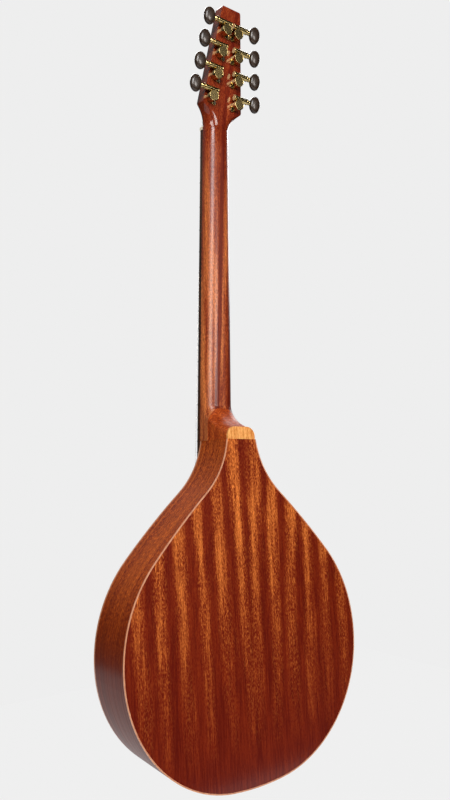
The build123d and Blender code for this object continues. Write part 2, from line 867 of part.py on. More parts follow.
with BuildPart() as bridge_saddle:
    with BuildSketch(bridge_plane):
        with Locations((0, (saddle_bottom + bridge_height) / 2)):
            Rectangle(2 * saddle_half_length, bridge_height - saddle_bottom)
    extrude(amount=saddle_width / 2, both=True)
    crown = bridge_saddle.edges().filter_by(Axis.X).group_by(Axis.Y)[0]
    fillet(crown, radius=saddle_width / 2 - 0.1)
save(bridge_saddle, "bridge_saddle")

with BuildPart() as tailpiece:
    with BuildSketch(Plane.YZ):
        with BuildLine():
            front_y, lifted_y = top_y - 0.4, top_y - tailpiece_lift
            Polyline(
                (top_y + tailpiece_leg, tail_z),
                (front_y, tail_z),
                (lifted_y, tail_z + tailpiece_reach),
                (lifted_y - tailpiece_thickness, tail_z + tailpiece_reach),
                (front_y - tailpiece_thickness, tail_z - tailpiece_thickness),
                (top_y + tailpiece_leg, tail_z - tailpiece_thickness),
                close=True,
            )
        make_face()
    extrude(amount=tailpiece_half_width, both=True)
    hook_base = top_y - tailpiece_lift + hook_root
    with BuildSketch(Plane.XZ.offset(-hook_base)):
        for course, member, radius in strings:
            with Locations((string_ends(course, member)[0], tail_hook_z)):
                Circle(hook_radius)
    extrude(amount=hook_height + hook_root)
    with Locations(*tail_screw_places):
        Cylinder(tail_screw_radius + running_gap, 4 * tailpiece_thickness, mode=Mode.SUBTRACT)
save(tailpiece, "tailpiece")

with BuildPart() as tailpiece_screws:
    under_leg = Plane(origin=(0, 0, tail_z - tailpiece_thickness), z_dir=(0, 0, 1))
    screw_points = [place[:2] for place in tail_screw_places]
    with BuildSketch(under_leg):
        with Locations(*screw_points):
            Circle(tail_screw_radius)
    extrude(amount=tail_screw_length)
    with BuildSketch(under_leg):
        with Locations(*screw_points):
            Circle(tail_screw_head_radius)
    extrude(amount=-tail_screw_head_height)
    fillet(tailpiece_screws.edges().group_by(Axis.Z)[0], radius=1.0)
save(tailpiece_screws, "tailpiece_screws")

with BuildPart() as strap_button:
    with BuildSketch(Plane(origin=tail_bore.position, x_dir=(1, 0, 0), z_dir=(0, -1, 0))):
        with BuildLine():
            Polyline((0, 20), (button_shank_radius, 20), (button_shank_radius, 0), (6.5, 0), (6.5, -1.5))
            Spline((6.5, -1.5), (4.2, -5.0), (7.2, -10.0), tangents=((-1, -0.4), (1, -0.6)))
            Polyline((7.2, -10.0), (7.2, -11.2), (6.2, -12.0), (0, -12.0), (0, 20))
        make_face()
    revolve(axis=Axis(tail_bore.position, (0, 0, 1)))
save(strap_button, "strap_button")

# ------------------------------------------------------------------ tuning machines


def tuner_plane(side, row):
    """Plane on the headstock's back at a post: local x points outward, z comes out of the back."""
    origin = (
        Vector(side * post_x(row), 0, 0) + post_height(row) * up_head + head_depth * behind_head
    )
    return Plane(origin=origin, x_dir=(side, 0, 0), z_dir=behind_head)


def up_sign(side):
    """Sign of local y that points up the head on a tuner's plane."""
    return -side


def worm_plane(side, row):
    """Plane across a tuner's worm shaft at the post: local z points outward along the shaft."""
    at_post = tuner_plane(side, row)
    origin = at_post.origin + gear_centre_distance * up_head + worm_axis_depth * behind_head
    return Plane(origin=origin, x_dir=up_head, z_dir=(side, 0, 0))


stack_depth = head_depth + veneer_front      # headstock and veneer together
sleeve_length = 6.0
bushing_length = 7.0
cup_height = 10.0
cavity_radius = 6.1
cavity_floor = 2.6
cavity_ceiling = 9.2
gear_bottom = 3.9
gear_thickness = 4.0
gear_tip_radius = 5.6
gear_root_radius = 4.8
worm_bore_radius = 2.9
worm_half_length = 4.6
worm_tip_radius = 2.6
worm_pitch = 2 * pi * (gear_centre_distance - 3.2) / gear_teeth
ring_width = 1.0
barrel_start = -7.2
journal_start = -6.2
lug_radius = 2.5
lug_thickness = 1.6

for side, name in ((-1, "bass_tuner_housings"), (1, "treble_tuner_housings")):
    with BuildPart() as housings:
        for row in range(tuner_rows):
            back = tuner_plane(side, row)
            lug = (-lug_offset, -lug_offset * up_sign(side))
            with BuildSketch(back):
                Circle(cup_radius)
            extrude(amount=cup_height)
            with BuildSketch(back):
                Circle(cup_radius - 1)
                with Locations(lug):
                    Circle(lug_radius)
                make_hull()
            extrude(amount=lug_thickness)
            with BuildSketch(back):
                Circle(hole_radius - running_gap)
            extrude(amount=-sleeve_length)
            worm = worm_plane(side, row)
            with BuildSketch(worm.offset(barrel_start)):
                Circle(barrel_radius)
            extrude(amount=barrel_end - barrel_start)
            # gear room, post bore, worm bore and screw hole
            with BuildSketch(back.offset(cavity_floor)):
                Circle(cavity_radius)
            extrude(amount=cavity_ceiling - cavity_floor, mode=Mode.SUBTRACT)
            with BuildSketch(back.offset(-sleeve_length)):
                Circle(post_radius + running_gap)
            extrude(amount=sleeve_length + cavity_floor, mode=Mode.SUBTRACT)
            with BuildSketch(worm.offset(-worm_half_length - 0.2)):
                Circle(worm_bore_radius)
            extrude(amount=2 * worm_half_length + 0.4, mode=Mode.SUBTRACT)
            with BuildSketch(worm.offset(journal_start)):
                Circle(shaft_radius + running_gap)
            extrude(amount=barrel_end - journal_start, mode=Mode.SUBTRACT)
            with BuildSketch(back):
                with Locations(lug):
                    Circle(lug_screw_radius + running_gap)
            extrude(amount=lug_thickness, mode=Mode.SUBTRACT)
    save(housings, name)

washer_radius = 6.4
washer_thickness = 0.7
collar_radius = 5.6                  # over the corners of the bushing's hexagon
collar_height = 2.4

with BuildPart() as tuner_bushings:
    with BuildSketch(head_plane.offset(veneer_front)):
        with Locations(*post_places):
            Circle(hole_radius - running_gap)
    extrude(amount=-bushing_length)
    with BuildSketch(head_plane.offset(veneer_front)):
        with Locations(*post_places):
            Circle(washer_radius)
    extrude(amount=washer_thickness)
    collar_foot = veneer_front + washer_thickness
    with BuildSketch(head_plane.offset(collar_foot)):
        with Locations(*post_places):
            RegularPolygon(collar_radius, 6)
    extrude(amount=collar_height)
    with BuildSketch(head_plane.offset(collar_foot + collar_height)):
        with Locations(*post_places):
            Circle(post_radius + running_gap)
    extrude(amount=-2 * bushing_length, mode=Mode.SUBTRACT)
save(tuner_bushings, "tuner_bushings")

with BuildPart() as tuner_screws:
    lug_top = head_plane.offset(-head_depth - lug_thickness)
    with BuildSketch(lug_top):
        with Locations(*lug_places):
            Circle(lug_screw_radius)
    extrude(amount=lug_thickness + lug_screw_depth)
    with BuildSketch(lug_top):
        with Locations(*lug_places):
            Circle(lug_head_radius)
    extrude(amount=-lug_head_height)
save(tuner_screws, "tuner_screws")

button_length = 16.5
button_width = 22.0
button_thickness = 9.0
button_rim = 0.6                     # flat left between the button's rounded faces
neck_of_button_radius = 3.2
neck_of_button_length = 1.6
thread_turns = (-1.5, -0.5, 0.5, 1.5)
stop_ring_radius = 2.8
stop_ring_thickness = 1.4
shaft_end = button_reach - 3.0       # the shaft ends inside the button
post_height_over_veneer = 12.0
post_groove_top = 7.5
post_groove_height = 4.5
post_groove_depth = 0.6
tooth_gap = 1.2

for side, row in posts:
    label = f"{'bass' if side < 0 else 'treble'}_{row + 1}"
    worm = worm_plane(side, row)
    back = tuner_plane(side, row)

    # the worm's thread is drawn as rings of the same tip, root and pitch
    with BuildPart() as worm_shaft:
        with BuildSketch(worm.offset(journal_start + 0.1)):
            Circle(shaft_radius)
        extrude(amount=shaft_end - journal_start)
        for ring in thread_turns:
            with BuildSketch(worm.offset(ring * worm_pitch - ring_width / 2)):
                Circle(worm_tip_radius)
            extrude(amount=ring_width)
        with BuildSketch(worm.offset(barrel_end + end_gap)):
            Circle(stop_ring_radius)
        extrude(amount=stop_ring_thickness)
    save(worm_shaft, f"worm_shaft_{label}")

    with BuildPart() as button:
        middle = worm.origin + Vector(side * button_reach, 0, 0)
        with BuildSketch(Plane(origin=middle, x_dir=(side, 0, 0), z_dir=behind_head)):
            Ellipse(button_length / 2, button_width / 2)
        extrude(amount=button_thickness / 2, both=True)
        fillet(button.edges(), radius=button_thickness / 2 - button_rim)
        with BuildSketch(worm.offset(button_reach - button_length / 2 - neck_of_button_length)):
            Circle(neck_of_button_radius)
        extrude(amount=neck_of_button_length + 2.0)
        with BuildSketch(worm.offset(journal_start)):
            Circle(shaft_radius)
        extrude(amount=shaft_end - journal_start + 0.1, mode=Mode.SUBTRACT)
    save(button, f"tuner_button_{label}")

    with BuildPart() as post:
        with BuildSketch(back.offset(-stack_depth - post_height_over_veneer)):
            Circle(post_radius)
        extrude(amount=stack_depth + post_height_over_veneer + cavity_ceiling - end_gap)
        with BuildSketch(back.offset(-stack_depth - post_groove_top)):
            Circle(post_radius)
            Circle(post_radius - post_groove_depth, mode=Mode.SUBTRACT)
        extrude(amount=post_groove_height, mode=Mode.SUBTRACT)
        with BuildSketch(back.offset(gear_bottom)):
            Circle(gear_tip_radius)
            with PolarLocations(gear_tip_radius + 0.1, gear_teeth):
                Rectangle(2 * (gear_tip_radius - gear_root_radius), tooth_gap, mode=Mode.SUBTRACT)
        extrude(amount=gear_thickness)
    save(post, f"post_{label}")
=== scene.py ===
import json
import math

import bpy
from mathutils import Matrix, Vector


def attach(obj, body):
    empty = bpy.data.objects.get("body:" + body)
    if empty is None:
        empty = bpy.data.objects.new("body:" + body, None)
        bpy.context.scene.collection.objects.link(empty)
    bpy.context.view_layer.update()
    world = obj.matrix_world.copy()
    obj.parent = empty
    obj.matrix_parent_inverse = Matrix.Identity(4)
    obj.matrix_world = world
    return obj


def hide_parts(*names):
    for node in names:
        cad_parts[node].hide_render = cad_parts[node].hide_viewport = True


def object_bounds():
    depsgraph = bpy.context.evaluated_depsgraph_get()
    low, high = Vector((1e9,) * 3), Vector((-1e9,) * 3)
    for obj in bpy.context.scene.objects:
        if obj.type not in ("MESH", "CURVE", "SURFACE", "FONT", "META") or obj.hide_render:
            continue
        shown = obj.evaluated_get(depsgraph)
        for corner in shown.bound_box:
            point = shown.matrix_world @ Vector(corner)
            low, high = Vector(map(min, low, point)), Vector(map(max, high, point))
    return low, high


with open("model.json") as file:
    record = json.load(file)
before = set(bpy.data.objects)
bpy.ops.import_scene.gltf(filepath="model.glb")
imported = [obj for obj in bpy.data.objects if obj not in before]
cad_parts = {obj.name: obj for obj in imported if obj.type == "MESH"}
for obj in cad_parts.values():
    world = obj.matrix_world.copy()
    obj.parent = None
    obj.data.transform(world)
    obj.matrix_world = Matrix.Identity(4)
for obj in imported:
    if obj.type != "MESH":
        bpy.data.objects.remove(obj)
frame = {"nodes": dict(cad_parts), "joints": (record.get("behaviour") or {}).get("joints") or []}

nodes = frame["nodes"]
cad_low, cad_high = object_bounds()
scene = bpy.context.scene
scene.view_settings.view_transform = "Standard"

# ------------------------------------------------------------------ the row's own frame
# Origin at the nut, +Z up the soundboard, +Y out of the back, +X the treble side. Metres.

MM = 0.001
SIDES = {"bass": -1, "treble": 1}
ROWS = (1, 2, 3, 4)
joints = {joint["name"]: joint for joint in frame["joints"]}


def joint_place(name):
    """The point and the unit axis of a joint, in the row frame."""
    joint = joints[name]
    return Vector(joint["pos_m"]), Vector(joint["axis"]).normalized()


def link(obj):
    """Put a new object into the scene."""
    scene.collection.objects.link(obj)
    return obj


# ------------------------------------------------------------------ camera

CAMERA_PLACE = Vector((0.4834, 0.7002, -0.4595))
CAMERA_YAW = math.radians(-35.2)     # from looking along -Y, turned about +Z
CAMERA_PITCH = math.radians(6.65)    # looking up
CAMERA_ROLL = math.radians(0.92)
CAMERA_LENS = 30.18                  # millimetres
CAMERA_SENSOR = 36                   # millimetres, along the picture's long side
CAMERA_RANGE = (0.01, 100)           # nearest and furthest things drawn


def make_camera():
    """A view from behind and the treble side, near the height of the heel."""
    forward, right = Vector((0, -1, 0)), Vector((-1, 0, 0))
    turn = Matrix.Rotation(CAMERA_YAW, 3, "Z")
    forward, right = turn @ forward, turn @ right
    forward = Matrix.Rotation(CAMERA_PITCH, 3, right) @ forward
    right = Matrix.Rotation(CAMERA_ROLL, 3, forward) @ right
    up = right.cross(forward)
    data = bpy.data.cameras.new("camera")
    data.lens = CAMERA_LENS
    data.sensor_width = CAMERA_SENSOR
    data.clip_start, data.clip_end = CAMERA_RANGE
    camera = link(bpy.data.objects.new("camera", data))
    turned = Matrix((right, up, -forward)).transposed().to_4x4()
    camera.matrix_world = Matrix.Translation(CAMERA_PLACE) @ turned
    scene.camera = camera


# ------------------------------------------------------------------ studio

PALE = 0.855                         # linear brightness of the pale surroundings

# The room's strength is a product of one stretch along each axis of the direction looked in:
# axis, start, end, strength at the start and strength at the end.
ROOM = (
    ("Y", -0.5, 0.1, 0.34, 0.012),
    ("Z", 0.05, 0.5, 0.1, 1.0),
)


def set_span(node, low, high, to_low, to_high):
    """Have a Map Range node carry the stretch from low to high onto another one."""
    for name, number in (("From Min", low), ("From Max", high), ("To Min", to_low), ("To Max", to_high)):
        node.inputs[name].default_value = number


def make_world():
    """Pale surroundings as seen, and a room for all other rays, brightest high on the soundboard's side."""
    world = bpy.data.worlds.new("studio")
    scene.world = world
    world.use_nodes = True
    tree = world.node_tree
    seen = tree.nodes.new("ShaderNodeLightPath")
    pale = tree.nodes["Background"]
    pale.inputs["Color"].default_value = (PALE, PALE, PALE, 1)
    place = tree.nodes.new("ShaderNodeTexCoord")
    split = tree.nodes.new("ShaderNodeSeparateXYZ")
    tree.links.new(place.outputs["Generated"], split.inputs[0])
    strength = tree.nodes.new("ShaderNodeMath")
    strength.operation = "MULTIPLY"
    for socket, (axis, *stretch) in zip(strength.inputs, ROOM):
        ramp = tree.nodes.new("ShaderNodeMapRange")
        tree.links.new(split.outputs[axis], ramp.inputs["Value"])
        set_span(ramp, *stretch)
        tree.links.new(ramp.outputs[0], socket)
    room = tree.nodes.new("ShaderNodeBackground")
    tree.links.new(strength.outputs[0], room.inputs["Strength"])
    mix = tree.nodes.new("ShaderNodeMixShader")
    tree.links.new(seen.outputs["Is Camera Ray"], mix.inputs["Fac"])
    tree.links.new(room.outputs[0], mix.inputs[1])
    tree.links.new(pale.outputs[0], mix.inputs[2])
    tree.links.new(mix.outputs[0], tree.nodes["World Output"].inputs["Surface"])


FLOOR_DROP = 0.34                    # the instrument hangs this far above the floor
FLOOR_NEAR, FLOOR_FAR, FLOOR_HALF = 1.0, 1.5, 1.6
FLOOR_TONE = 0.02                    # dark enough to show almost no shadow
FLOOR_GLOW = PALE - 0.01


def make_floor():
    """A pale floor under the hanging instrument, reaching further out on the soundboard's side."""
    bpy.ops.mesh.primitive_plane_add(size=1)
    floor = bpy.context.object
    floor.name = "floor"
    floor.scale = (2 * FLOOR_HALF, FLOOR_NEAR + FLOOR_FAR, 1)
    floor.location = (0, (FLOOR_NEAR - FLOOR_FAR) / 2, cad_low.z - FLOOR_DROP)
    material = bpy.data.materials.new("pale_floor")
    material.use_nodes = True
    shader = material.node_tree.nodes["Principled BSDF"]
    shader.inputs["Base Color"].default_value = (FLOOR_TONE, FLOOR_TONE, FLOOR_TONE, 1)
    shader.inputs["Roughness"].default_value = 1.0
    shader.inputs["Specular IOR Level"].default_value = 0.0
    shader.inputs["Emission Color"].default_value = (1, 1, 1, 1)
    shader.inputs["Emission Strength"].default_value = FLOOR_GLOW
    floor.data.materials.append(material)


LIT_POINT = Vector((0, 0.02, -0.3))  # in the neck
WARM, WHITE = (1.0, 0.95, 0.9), (1, 1, 1)


def make_softbox(name, azimuth, elevation, distance, width, height, radiance, colour):
    """A rectangular softbox aimed at the lit point; azimuth is from +X towards +Y, angles are in degrees."""
    around, above = math.radians(azimuth), math.radians(elevation)
    level = Vector((math.cos(around), math.sin(around), 0))
    towards = math.cos(above) * level + Vector((0, 0, math.sin(above)))
    data = bpy.data.lights.new(name, "AREA")
    data.shape = "RECTANGLE"
    data.size, data.size_y = width, height
    data.energy = radiance * math.pi * width * height
    data.color = colour
    lamp = link(bpy.data.objects.new(name, data))
    lamp.location = LIT_POINT + distance * towards
    lamp.rotation_mode = "QUATERNION"
    lamp.rotation_quaternion = (-towards).to_track_quat("-Z", "Y")


def make_lights():
    """Two softboxes on the camera's side, a near one above them, and two on the soundboard's side."""
    make_softbox("box_treble", azimuth=52, elevation=10, distance=2.1, width=1.1, height=0.62,
                 radiance=12, colour=WARM)
    make_softbox("box_bass", azimuth=102, elevation=10, distance=2.1, width=0.7, height=0.62,
                 radiance=13, colour=WARM)
    make_softbox("box_near", azimuth=62, elevation=34, distance=1.15, width=0.45, height=0.35,
                 radiance=14, colour=WHITE)
    make_softbox("box_front", azimuth=245, elevation=55, distance=2.4, width=1.3, height=1.1,
                 radiance=9, colour=WHITE)
    make_softbox("box_front_bass", azimuth=205, elevation=30, distance=2.6, width=1.0, height=1.2,
                 radiance=6, colour=WHITE)


# ------------------------------------------------------------------ material building

slots = {}                           # each slot's finished material


class Shade:
    """A Principled material and short calls for the nodes that feed it."""

    def __init__(self, name, **values):
        self.material = bpy.data.materials.new(name)
        self.material.use_nodes = True
        self.tree = self.material.node_tree
        self.shader = self.tree.nodes["Principled BSDF"]
        for socket, value in values.items():
            self.shader.inputs[socket.replace("_", " ")].default_value = value
        self.place = self.add("TexCoord").outputs["Object"]

    def add(self, kind, **settings):
        """A new node with its settings."""
        node = self.tree.nodes.new("ShaderNode" + kind)
        for name, value in settings.items():
            setattr(node, name, value)
        return node

    def feed(self, output, socket):
        self.tree.links.new(output, socket)

    def stretched(self, scale):
        """Object coordinates, each axis multiplied by its own scale."""
        mapping = self.add("Mapping")
        self.feed(self.place, mapping.inputs["Vector"])
        mapping.inputs["Scale"].default_value = scale
        return mapping.outputs["Vector"]

    def noise(self, vector, scale=1.0, detail=3.0, distortion=0.0):
        node = self.add("TexNoise")
        self.feed(vector, node.inputs["Vector"])
        node.inputs["Scale"].default_value = scale
        node.inputs["Detail"].default_value = detail
        node.inputs["Distortion"].default_value = distortion
        return node.outputs["Fac"]

    def math(self, operation, first, second=0.0, third=0.0):
        """A sum done on numbers or nodes' outputs."""
        node = self.add("Math", operation=operation)
        for socket, value in zip(node.inputs, (first, second, third)):
            if isinstance(value, (int, float)):
                socket.default_value = value
            else:
                self.feed(value, socket)
        return node.outputs[0]

    def span(self, value, low, high, to_low=0.0, to_high=1.0):
        """A value's stretch from low to high, mapped onto another stretch and clamped."""
        node = self.add("MapRange")
        self.feed(value, node.inputs["Value"])
        set_span(node, low, high, to_low, to_high)
        return node.outputs[0]

    def ramp(self, value, stops):
        """Colours along a value: stops are (position, colour)."""
        node = self.add("ValToRGB")
        points = node.color_ramp.elements
        while len(points) < len(stops):
            points.new(0.5)
        for point, (position, colour) in zip(points, stops):
            point.position = position
            point.color = (*colour, 1)
        self.feed(value, node.inputs["Fac"])
        return node.outputs["Color"]

    def blend(self, share, first, second):
        """Two colours mixed by a share, each a colour or a node's output."""
        node = self.add("Mix", data_type="RGBA")
        sockets = [s for s in node.inputs if s.type == "RGBA"]
        for socket, value in ((node.inputs["Factor"], share), *zip(sockets, (first, second))):
            if isinstance(value, tuple):
                socket.default_value = (*value, 1)
            else:
                self.feed(value, socket)
        return [s for s in node.outputs if s.type == "RGBA"][0]

    def axis(self, name):
        """One object coordinate, in metres."""
        node = self.add("SeparateXYZ")
        self.feed(self.place, node.inputs[0])
        return node.outputs[name]

    def bump(self, height, strength, distance):
        node = self.add("Bump")
        node.inputs["Strength"].default_value = strength
        node.inputs["Distance"].default_value = distance
        self.feed(height, node.inputs["Height"])
        self.feed(node.outputs["Normal"], self.shader.inputs["Normal"])

    def colour(self, output):
        self.feed(output, self.shader.inputs["Base Color"])

    def rough(self, output):
        self.feed(output, self.shader.inputs["Roughness"])


def toned(colour, factor):
    """A colour made darker or brighter, as far as full brightness."""
    return tuple(min(1, factor * part) for part in colour)


# ------------------------------------------------------------------ woods

NOISE_RANGE = (0.3, 0.7)             # nearly all of a noise's values lie in it

ALONG_Z = (1, 1, 130)                # how much longer the grain's marks are along each axis
ALONG_RIB = (130, 1, 130)
STREAK_SIZES = (1, 2.6, 7)           # of the three layers of streaks, against the finest
STREAK_SHARES = (0.45, 0.3, 0.25)
STREAK_REACH = 0.14                  # from the middle of their sum to the darkest and lightest tones
TONE_PLACES = (0.08, 0.5, 0.92)      # of the three tones along the figure
PLAIN_GLOW = 0.7                     # how much the flecks, partly painted glints, show in wood without bands
DASH_SIZE = 0.8                      # millimetres across a fleck or a pore
DASH_STRETCH = 4                     # the greatest length of either, against its width
FLECK_GLINT_RANGE = (0.5, 0.68)            # of their noise, where flecks grow, partly as painted glints
PORE_RANGE = (0.32, 0.48)            # and where pores fade out
FLECK_GLINT_TONE, PORE_TONE = 2.1, 0.8     # flecks brightened past the light tone as painted glints, and pores against the dark tone
WOOD_ROUGH = (0.55, 0.4)             # from the darkest to the lightest of the finest streaks
WOOD_SHINE = 0.06                    # of the wood itself, under its coat


def grain(shade, size, stretch):
    """Coordinates in which a noise makes marks of a size in millimetres, drawn out along the grain."""
    return shade.stretched([1 / (size * MM * factor) for factor in stretch])


def wood(name, slot, tones, stretch=ALONG_Z, streak=1.5, contrast=1.0, coat=0.7, gloss=0.1, bands=None,
         sparkle=0.6, pore=0.5):
    """Lacquered wood: three tones laid along streaks, with pores, flecks that are partly real specks and
    partly painted glints, and optional bands.
    """
    shade = Shade(name, Coat_Weight=coat, Coat_Roughness=gloss, Specular_IOR_Level=WOOD_SHINE)
    layers = [shade.noise(grain(shade, size * streak, stretch), detail=1) for size in STREAK_SIZES]
    figure = 0.0
    for layer, share in zip(layers, STREAK_SHARES):
        figure = shade.math("MULTIPLY_ADD", layer, share, figure)
    reach = STREAK_REACH / contrast
    figure = shade.span(figure, 0.5 - reach, 0.5 + reach)
    glow = PLAIN_GLOW
    if bands:
        share, glow = bands(shade)
        part = shade.math("MULTIPLY", figure, 1 - share)
        figure = shade.math("MULTIPLY_ADD", glow, share, part)
    dark, light = tones[0], tones[-1]
    colour = shade.ramp(figure, list(zip(TONE_PLACES, tones)))
    short = [min(factor, DASH_STRETCH) for factor in stretch]
    dashes = shade.noise(grain(shade, DASH_SIZE, short), detail=1)
    # Flecks: partly real specks, partly painted glints, brightened past the lightest tone and strongest in
    # the lightest bands.
    fleck = shade.math("MULTIPLY", shade.span(dashes, *FLECK_GLINT_RANGE, 0.0, sparkle), glow)
    colour = shade.blend(fleck, colour, toned(light, FLECK_GLINT_TONE))
    hole = shade.span(dashes, *PORE_RANGE, pore, 0.0)
    shade.colour(shade.blend(hole, colour, toned(dark, PORE_TONE)))
    shade.rough(shade.span(layers[0], *NOISE_RANGE, *WOOD_ROUGH))
    shade.bump(dashes, strength=0.15, distance=0.3 * MM)
    slots[slot] = shade.material
    return shade


# A pattern of bands gives its share in the wood's figure, painted shade included where a pattern carries it,
# and its own value from 0, dark, to 1, light.

RIBBON_FIRST = 9 * MM                # middle of the first pale ribbon, from the centre line
RIBBON_LEVEL = -600 * MM             # the height at which it lies there
RIBBON_PITCH = 27.6 * MM
RIBBON_LEAN = 0.035                  # outward, for each metre up
RIBBON_SWAY = 10 * MM                # from side to side
RIBBON_PATCHES = 2.8                 # how much patches shift the ribbons' tone
RIBBON_RANGE = (0.6, 2.3)            # of the tone, from darkest to lightest
RIBBON_GLOW = (0.08, 1.0)
RIBBON_SHADE_FADE = (-770 * MM, -500 * MM)  # heights where painted shade has hidden the ribbons, and where they are whole
RIBBON_SHARE = 0.5


def back_ribbons(shade):
    """Bookmatched ribbons of sapele, slightly wavy, mirrored about the centre line, with painted shade
    fading them downwards.
    """
    sway = shade.noise(grain(shade, size=30, stretch=(1, 1, 5)), detail=1)
    side = shade.math("ABSOLUTE", shade.axis("X"))
    lean = shade.math("MULTIPLY_ADD", shade.axis("Z"), -RIBBON_LEAN, RIBBON_LEAN * RIBBON_LEVEL)
    place = shade.math("ADD", side, lean)
    place = shade.math("MULTIPLY_ADD", sway, RIBBON_SWAY, place)
    rate = 2 * math.pi / RIBBON_PITCH
    turn = shade.math("MULTIPLY_ADD", place, rate, -rate * (RIBBON_FIRST + RIBBON_SWAY / 2))
    wave = shade.math("COSINE", turn)
    patch = shade.noise(grain(shade, size=11, stretch=(1, 1, 18)), detail=2)
    wave = shade.math("MULTIPLY_ADD", patch, RIBBON_PATCHES, wave)
    # Painted shade: the ribbons fade out towards the tail, leaving the lower back darker.
    fade = shade.span(shade.axis("Z"), *RIBBON_SHADE_FADE)
    return RIBBON_SHARE, shade.math("MULTIPLY", shade.span(wave, *RIBBON_RANGE, *RIBBON_GLOW), fade)


SIDE_SHADE_FADE = (-665 * MM, -570 * MM)   # heights where the sides' painted shade is darkest and lightest
SIDE_GLOW = (0.0, 0.75)
SIDE_SHARE = 0.55


def side_painted_shade(shade):
    """Painted shade on the sides' figure, darkening it towards the tail."""
    return SIDE_SHARE, shade.span(shade.axis("Z"), *SIDE_SHADE_FADE, *SIDE_GLOW)


STRIP_LEAN = 0.03                    # towards the bass side, for each metre up
STRIP_SHIFT = 2.5 * MM               # towards the bass side, at the nut
STRIP_SWAY = 4 * MM                  # further that way, by a noise
# Places from the strip's middle, where it stays dark up to the first and is pale from the second.
STRIP_EDGE = (2.2 * MM, 4.2 * MM)
# Painted shade along the neck's bass edge: places across it, dark up to the first and clear from the second.
BASS_SHADE_EDGE = (-16 * MM, -9 * MM)
BAND_GLOW = (0.1, 1.0)
HEAD_FADE = (-160 * MM, 0.0)         # heights between which the neck darkens
HEAD_GLOW = (1.0, 0.3)
PATCH_RANGE, PATCH_GLOW = (0.35, 0.65), (0.5, 1.3)
NECK_SHARE = 0.6


def neck_bands(shade):
    """A dark strip leaning across the neck's middle, painted shade along the bass edge, and a darker head.
    """
    sway = shade.noise(grain(shade, size=12, stretch=(1, 1, 9)), detail=1)
    lean = shade.math("MULTIPLY_ADD", shade.axis("Z"), STRIP_LEAN, STRIP_SHIFT)
    side = shade.math("MULTIPLY_ADD", sway, STRIP_SWAY, shade.axis("X"))
    across = shade.math("ADD", side, lean)
    strip = shade.span(shade.math("ABSOLUTE", across), *STRIP_EDGE, *BAND_GLOW)
    # Painted shade: the bass edge darkens where the neck turns away from the lights.
    edge = shade.span(across, *BASS_SHADE_EDGE, *BAND_GLOW)
    head = shade.span(shade.axis("Z"), *HEAD_FADE, *HEAD_GLOW)
    patch = shade.noise(grain(shade, size=7, stretch=(1, 1, 14)), detail=2)
    patch = shade.span(patch, *PATCH_RANGE, *PATCH_GLOW)
    glow = shade.math("MULTIPLY", shade.math("MULTIPLY", strip, edge), shade.math("MULTIPLY", head, patch))
    return NECK_SHARE, glow


HAZE_HEIGHTS = (-30 * MM, 5 * MM)    # where the haze starts to clear and is cleared
NECK_HAZE, HEAD_HAZE = 0.31, 0.07


def polish_head(shade):
    """Turn the neck's hazy coat into the headstock's glossy one, over a short stretch at the nut."""
    haze = shade.span(shade.axis("Z"), *HAZE_HEIGHTS, NECK_HAZE, HEAD_HAZE)
    shade.feed(haze, shade.shader.inputs["Coat Roughness"])


# Each wood's dark, middle and light tones.
SAPELE = ((0.1, 0.005, 0.001), (0.18, 0.016, 0.003), (0.55, 0.14, 0.026))
SAPELE_SIDE = ((0.1, 0.009, 0.0015), (0.2, 0.023, 0.003), (0.44, 0.09, 0.009))
MAHOGANY = ((0.085, 0.004, 0.001), (0.2, 0.023, 0.005), (0.46, 0.13, 0.034))
HEEL = ((0.16, 0.016, 0.003), (0.28, 0.038, 0.006), (0.45, 0.09, 0.014))
MAPLE = ((0.52, 0.17, 0.035), (0.7, 0.27, 0.07), (0.85, 0.42, 0.14))
SPRUCE = ((0.62, 0.38, 0.16), (0.78, 0.54, 0.27), (0.86, 0.64, 0.36))
ROSEWOOD = ((0.012, 0.006, 0.004), (0.045, 0.02, 0.012), (0.1, 0.048, 0.026))
BLOCK = ((0.3, 0.12, 0.045), (0.46, 0.21, 0.09), (0.6, 0.32, 0.16))


def make_woods():
    """Every wooden slot's material, and the two sides' own grain."""
    wood("sapele_back", "sapele", SAPELE, bands=back_ribbons)
    wood("sapele_side", "sapele_side", SAPELE_SIDE, stretch=ALONG_RIB, coat=0.3, gloss=0.22,
         bands=side_painted_shade)
    neck = wood("mahogany_neck", "neck_wood", MAHOGANY, streak=1.2, coat=0.8, gloss=NECK_HAZE,
                bands=neck_bands, sparkle=0.4)
    polish_head(neck)
    wood("mahogany_heel", "heel_wood", HEEL, streak=2.0, contrast=0.8, coat=0.35, gloss=0.36)
    wood("maple_cap", "maple", MAPLE, streak=1.1, contrast=1.3, sparkle=0.3, pore=0.35)
    wood("spruce_top", "spruce", SPRUCE, streak=1.1, contrast=0.8, sparkle=0.1, pore=0.1)
    wood("rosewood_board", "rosewood", ROSEWOOD, streak=1.3, coat=0.3, gloss=0.25, sparkle=0.3)
    wood("bare_block", "block_wood", BLOCK, coat=0.0)


# ------------------------------------------------------------------ metals and plastics

CLOUD_RANGE = (0.35, 0.65)           # of a noise, from one tone to the other
WEAR = 0.08                          # how much rougher the dullest spots are
METAL_TONE, METAL_SHARE = 0.72, 0.35  # the second tone against the first, and its greatest share
PLASTIC_TONE = 0.7


def metal(name, slot, colour, rough):
    """Polished metal with faint rubbing marks and uneven polish."""
    shade = Shade(name, Metallic=1.0, Base_Color=(*colour, 1))
    marks = shade.span(shade.noise(shade.place, scale=900), *CLOUD_RANGE, 0.0, METAL_SHARE)
    shade.colour(shade.blend(marks, colour, toned(colour, METAL_TONE)))
    fine = shade.noise(shade.place, scale=2600, detail=2)
    shade.rough(shade.span(fine, *NOISE_RANGE, rough, rough + WEAR))
    shade.bump(fine, strength=0.04, distance=0.05 * MM)
    slots[slot] = shade.material


